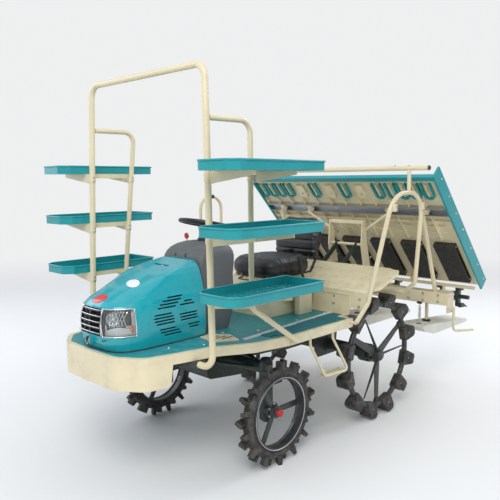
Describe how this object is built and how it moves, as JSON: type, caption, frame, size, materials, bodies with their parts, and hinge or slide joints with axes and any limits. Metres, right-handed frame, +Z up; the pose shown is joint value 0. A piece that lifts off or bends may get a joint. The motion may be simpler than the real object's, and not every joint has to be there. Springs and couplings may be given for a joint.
{
  "type": "riding rice transplanter",
  "caption": "Four-wheel riding rice transplanter with a moulded deck and bonnet, a tube gantry with seedling trays, narrow lugged wheels and a lift-linked planting unit.",
  "frame": {"origin": "on the ground, under the middle of the machine's overall length and width", "axes": "+Z up, the machine faces -Y, +X is its left side"},
  "size_m": [1.9562, 3.35, 2.389],
  "materials": {
    "frame_paint": "dark grey frame paint",
    "casting": "dark green painted casting",
    "engine": "plain block",
    "cream_panel": "cream moulded panel",
    "cream_paint": "cream powder coat",
    "teal_plastic": "teal moulded floor",
    "bonnet_plastic": "glossy teal",
    "tray_plastic": "glossy teal",
    "grey_plastic": "mid grey, fine grain",
    "black_plastic": "black",
    "seat_vinyl": "black grained vinyl",
    "lamp_lens": "clear lens over a bright reflector",
    "rim_metal": "grey rim with a bright edge",
    "ring_metal": "dark ring and spokes",
    "tyre": "moulded black rubber",
    "rod_chrome": "plated rod",
    "float_plastic": "pale grey-white",
    "platform_plastic": "cream moulded sheet",
    "belt_rubber": "black belt",
    "planter_metal": "grey cast cases",
    "channel_metal": "plain grey channel"
  },
  "bodies": {
    "chassis": {"chassis_frame": "frame_paint", "front_axle_case": "casting", "rear_axle_case": "casting", "engine_block": "engine", "deck_skirt": "cream_panel", "deck": "teal_plastic", "dash_cowl": "grey_plastic", "seat_pedestal": "cream_panel", "seat_cushion": "seat_vinyl", "seat_backrest": "seat_vinyl", "rear_cover": "cream_panel", "side_steps": "cream_paint", "gantry": "cream_paint", "rack_frame_left": "cream_paint", "rack_frame_right": "cream_paint", "trays_left": "tray_plastic", "trays_right": "tray_plastic", "handrail_left": "cream_paint", "grab_hoop_right": "cream_paint", "lever": "black_plastic"},
    "bonnet": {"bonnet": "bonnet_plastic", "grille": "black_plastic", "headlamps": "lamp_lens"},
    "steering_wheel": {"steering_wheel": "black_plastic"},
    "knuckle_left": {"knuckle_left": "casting"},
    "knuckle_right": {"knuckle_right": "casting"},
    "front_wheel_left": {"front_rim_left": "rim_metal", "front_tyre_left": "tyre"},
    "front_wheel_right": {"front_rim_right": "rim_metal", "front_tyre_right": "tyre"},
    "rear_wheel_left": {"rear_rim_left": "ring_metal", "rear_lugs_left": "tyre"},
    "rear_wheel_right": {"rear_rim_right": "ring_metal", "rear_lugs_right": "tyre"},
    "lower_links": {"lower_links": "casting"},
    "upper_links": {"upper_links": "casting"},
    "lift_cylinder": {"lift_cylinder": "frame_paint"},
    "lift_rod": {"lift_rod": "rod_chrome"},
    "planting_unit": {"planting_frame": "cream_paint", "floats": "float_plastic"},
    "platform": {"seedling_platform": "platform_plastic", "platform_sides": "tray_plastic", "platform_fingers": "tray_plastic", "platform_channel": "channel_metal", "feed_belts": "belt_rubber"},
    "planter_left": {"planter_left": "planter_metal"},
    "planter_centre": {"planter_centre": "planter_metal"},
    "planter_right": {"planter_right": "planter_metal"}
  },
  "joints": [
    {"name": "steering_turn", "type": "hinge", "parent": "chassis", "child": "steering_wheel", "pos_m": [0, -0.765, 1.47], "axis": [0, 0.2079, 0.9781], "range_deg": [-400, 400]},
    {"name": "steer_left", "type": "hinge", "parent": "chassis", "child": "knuckle_left", "pos_m": [0.504, -0.725, 0.5], "axis": [0, 0, 1], "range_deg": [-40, 40]},
    {"name": "steer_right", "type": "hinge", "parent": "chassis", "child": "knuckle_right", "pos_m": [-0.504, -0.725, 0.5], "axis": [0, 0, 1], "range_deg": [-40, 40]},
    {"name": "front_spin_left", "type": "hinge", "parent": "knuckle_left", "child": "front_wheel_left", "pos_m": [0.6, -0.725, 0.325], "axis": [1, 0, 0], "continuous": true},
    {"name": "front_spin_right", "type": "hinge", "parent": "knuckle_right", "child": "front_wheel_right", "pos_m": [-0.6, -0.725, 0.325], "axis": [1, 0, 0], "continuous": true},
    {"name": "rear_spin_left", "type": "hinge", "parent": "chassis", "child": "rear_wheel_left", "pos_m": [0.622, 0.37, 0.46], "axis": [1, 0, 0], "continuous": true},
    {"name": "rear_spin_right", "type": "hinge", "parent": "chassis", "child": "rear_wheel_right", "pos_m": [-0.622, 0.37, 0.46], "axis": [1, 0, 0], "continuous": true},
    {"name": "bonnet_hinge", "type": "hinge", "parent": "chassis", "child": "bonnet", "pos_m": [0, -0.987, 1.262], "axis": [-1, 0, 0], "range_deg": [0, 50]},
    {"name": "lift_lower", "type": "hinge", "parent": "chassis", "child": "lower_links", "pos_m": [0, 0.325, 0.6], "axis": [1, 0, 0], "range_deg": [-41, 0]},
    {"name": "lift_upper", "type": "hinge", "parent": "chassis", "child": "upper_links", "pos_m": [0, 0.275, 0.8], "axis": [1, 0, 0], "range_deg": [-41, 0]},
    {"name": "unit_level", "type": "hinge", "parent": "lower_links", "child": "planting_unit", "pos_m": [0, 0.89131, 1.01145], "axis": [1, 0, 0], "range_deg": [0, 41]},
    {"name": "ram_tilt", "type": "hinge", "parent": "chassis", "child": "lift_cylinder", "pos_m": [0, 0.415, 0.575], "axis": [1, 0, 0], "range_deg": [-32, 0]},
    {"name": "ram_stroke", "type": "slide", "parent": "lift_cylinder", "child": "lift_rod", "axis": [0, 0.3899, 0.9209], "range_m": [-0.175, 0]},
    {"name": "platform_slide", "type": "slide", "parent": "planting_unit", "child": "platform", "axis": [1, 0, 0], "range_m": [-0.14, 0.14]},
    {"name": "planter_centre_spin", "type": "hinge", "parent": "planting_unit", "child": "planter_centre", "pos_m": [0, 1.557, 0.738], "axis": [1, 0, 0], "continuous": true},
    {"name": "planter_left_spin", "type": "hinge", "parent": "planting_unit", "child": "planter_left", "pos_m": [0.6, 1.557, 0.738], "axis": [1, 0, 0], "continuous": true},
    {"name": "planter_right_spin", "type": "hinge", "parent": "planting_unit", "child": "planter_right", "pos_m": [-0.6, 1.557, 0.738], "axis": [1, 0, 0], "continuous": true}
  ],
  "couplings": [
    {"joint": "steer_left", "follows": "steering_turn", "ratio": 0.1},
    {"joint": "steer_right", "follows": "steering_turn", "ratio": 0.1},
    {"joint": "lift_upper", "follows": "lift_lower", "ratio": 1},
    {"joint": "unit_level", "follows": "lift_lower", "ratio": -1},
    {"joint": "ram_tilt", "follows": "lift_lower", "ratio": 0.7775},
    {"joint": "ram_stroke", "follows": "lift_lower", "m_per_rad": 0.24306},
    {"joint": "planter_left_spin", "follows": "planter_centre_spin", "ratio": 1},
    {"joint": "planter_right_spin", "follows": "planter_centre_spin", "ratio": 1}
  ]
}
